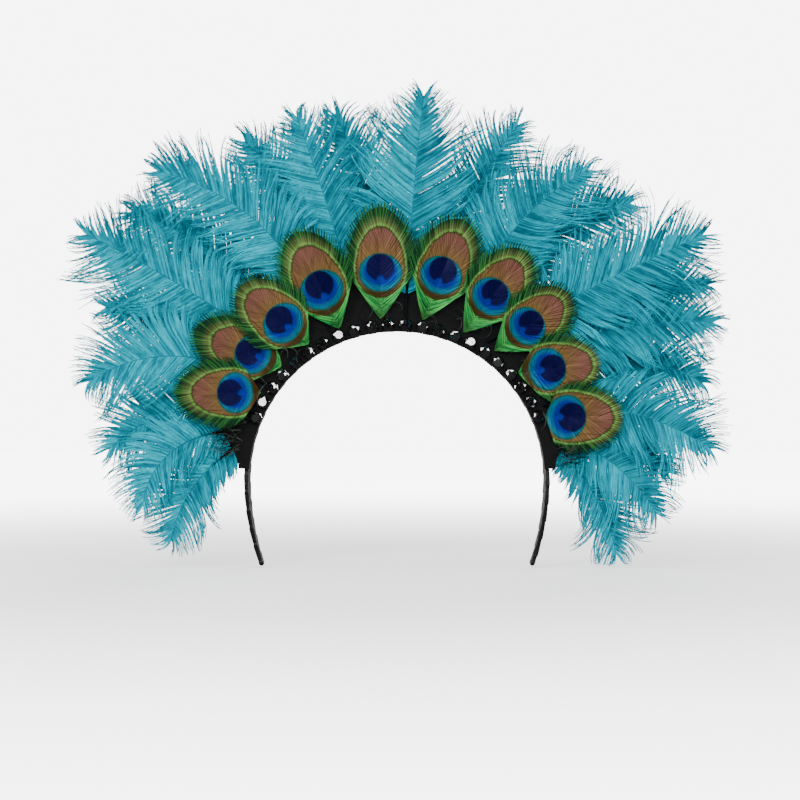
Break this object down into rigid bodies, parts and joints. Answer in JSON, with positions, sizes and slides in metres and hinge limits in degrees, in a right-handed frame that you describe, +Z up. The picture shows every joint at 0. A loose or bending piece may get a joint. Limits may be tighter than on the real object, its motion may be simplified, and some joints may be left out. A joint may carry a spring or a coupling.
{
  "type": "feather headpiece",
  "caption": "Showgirl style head band with a fan of curled turquoise ostrich plumes, a row of trimmed peacock eye feathers and a line of black faceted stones.",
  "frame": {"origin": "crown of the head: the middle of the band's inner face, at the top of its arc", "axes": "+Z up, -Y toward the front of the face, +X to the right as seen from the front"},
  "size_m": [0.3464, 0.0591, 0.2486],
  "materials": {
    "band": "black satin",
    "felt": "black felt",
    "jet": "polished black, faceted",
    "peacock": "iridescent feather",
    "plume": "dyed feather"
  },
  "bodies": {
    "root": {"headband": "band", "backing": "felt", "back_cover": "felt", "jet_stone_01": "jet", "jet_stone_02": "jet", "jet_stone_03": "jet", "jet_stone_04": "jet", "jet_stone_05": "jet", "jet_stone_06": "jet", "jet_stone_07": "jet", "jet_stone_08": "jet", "jet_stone_09": "jet", "jet_stone_10": "jet", "jet_stone_11": "jet", "jet_stone_12": "jet", "jet_stone_13": "jet", "jet_stone_14": "jet", "jet_stone_15": "jet", "jet_stone_16": "jet", "jet_stone_17": "jet", "jet_stone_18": "jet", "jet_stone_19": "jet", "jet_stone_20": "jet", "jet_stone_21": "jet", "jet_stone_22": "jet", "peacock_eye_01": "peacock", "peacock_eye_02": "peacock", "peacock_eye_03": "peacock", "peacock_eye_04": "peacock", "peacock_eye_05": "peacock", "peacock_eye_06": "peacock", "peacock_eye_07": "peacock", "peacock_eye_08": "peacock", "peacock_eye_09": "peacock", "peacock_eye_10": "peacock", "plume_01": "plume", "plume_02": "plume", "plume_03": "plume", "plume_04": "plume", "plume_05": "plume", "plume_06": "plume", "plume_07": "plume", "plume_08": "plume", "plume_09": "plume", "plume_10": "plume", "plume_11": "plume", "plume_12": "plume", "plume_13": "plume", "plume_14": "plume", "plume_15": "plume", "plume_16": "plume", "plume_17": "plume", "plume_18": "plume", "plume_19": "plume", "plume_20": "plume", "plume_21": "plume", "plume_22": "plume", "plume_23": "plume"}
  },
  "joints": []
}
